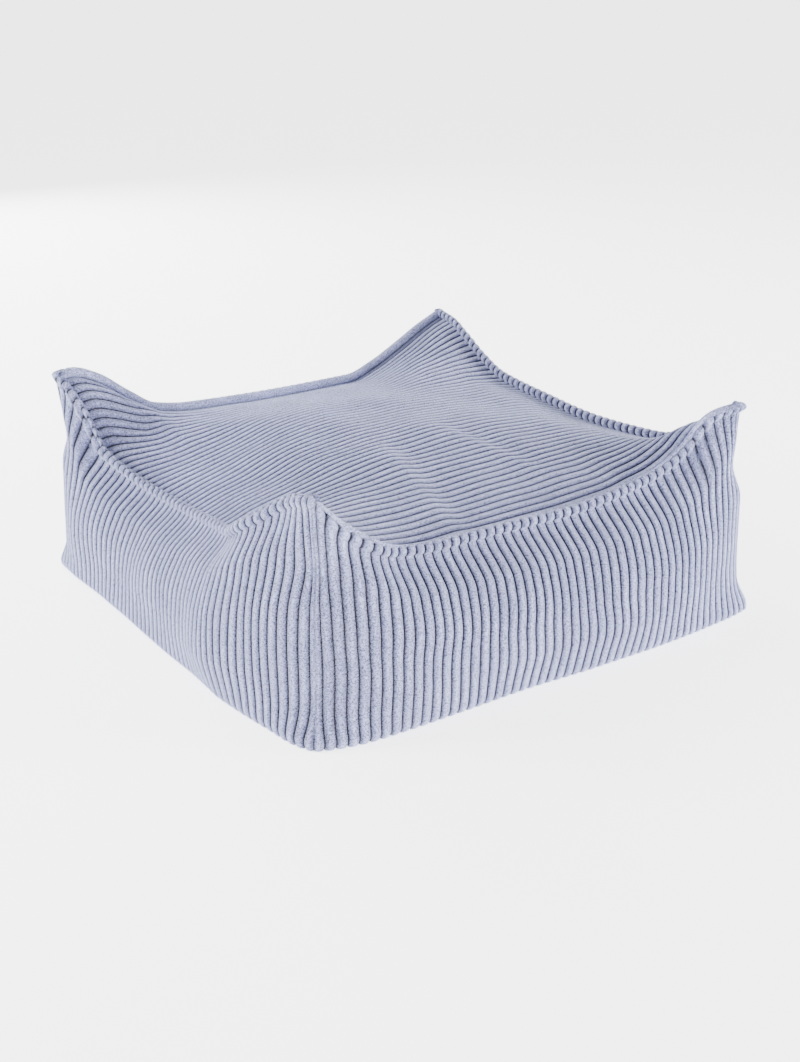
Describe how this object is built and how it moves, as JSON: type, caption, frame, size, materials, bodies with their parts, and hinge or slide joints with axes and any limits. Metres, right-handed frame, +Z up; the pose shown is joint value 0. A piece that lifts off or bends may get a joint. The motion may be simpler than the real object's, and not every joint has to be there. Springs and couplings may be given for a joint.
{
  "type": "floor pouf",
  "caption": "Low square floor pouf with a gently domed top, pointed corner ears, a standing sewn lip round the top edge and wide raised ribs on its top and sides",
  "frame": {"origin": "On the floor, at the middle of the flat underside", "axes": "+Z up; -Y is the broad side that faces the camera on its right, -X the one on its left; X runs along the ribs of the top"},
  "size_m": [0.6587, 0.6557, 0.257],
  "materials": {
    "corduroy": "matte",
    "base_cloth": "matte"
  },
  "bodies": {
    "root": {"filled_body": "base_cloth", "top_panel": "corduroy", "side_panel_front": "corduroy", "side_panel_right": "corduroy", "side_panel_back": "corduroy", "side_panel_left": "corduroy"}
  },
  "joints": []
}
